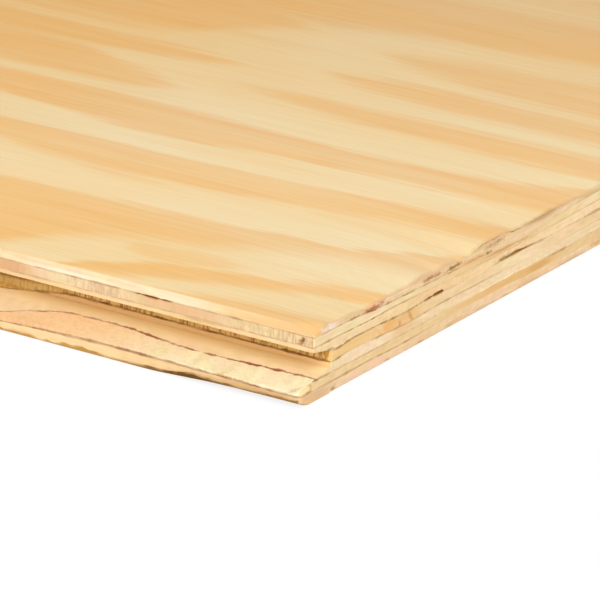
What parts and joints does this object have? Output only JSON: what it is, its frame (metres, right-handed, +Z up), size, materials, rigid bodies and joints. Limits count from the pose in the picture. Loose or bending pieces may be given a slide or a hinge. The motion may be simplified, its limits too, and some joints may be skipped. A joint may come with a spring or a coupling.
{
  "type": "tongue-and-groove plywood underlayment panel",
  "caption": "Flat softwood plywood floor underlayment sheet with a sanded face, cross-laminated veneers, a tapered groove along one long edge and a matching tongue along the other.",
  "frame": {"origin": "middle of the underside's bounding rectangle, tongue included", "axes": "+X along the sheet's length and face grain, +Y from the grooved edge to the tongue, +Z up through the face"},
  "size_m": [2.4384, 1.219, 0.0183],
  "materials": {
    "face_pine": "sanded clear softwood veneer, unfinished, grain along the length",
    "crossband_pine": "unfinished softwood veneer, grain across the sheet",
    "core_pine": "unfinished softwood veneer, grain along the length",
    "back_pine": "touch-sanded softwood veneer with small tight knots, grain along the length"
  },
  "bodies": {
    "root": {"face_veneer": "face_pine", "upper_crossband": "crossband_pine", "upper_core_ply": "core_pine", "centre_crossband": "crossband_pine", "lower_core_ply": "core_pine", "lower_crossband": "crossband_pine", "back_veneer": "back_pine"}
  },
  "joints": []
}
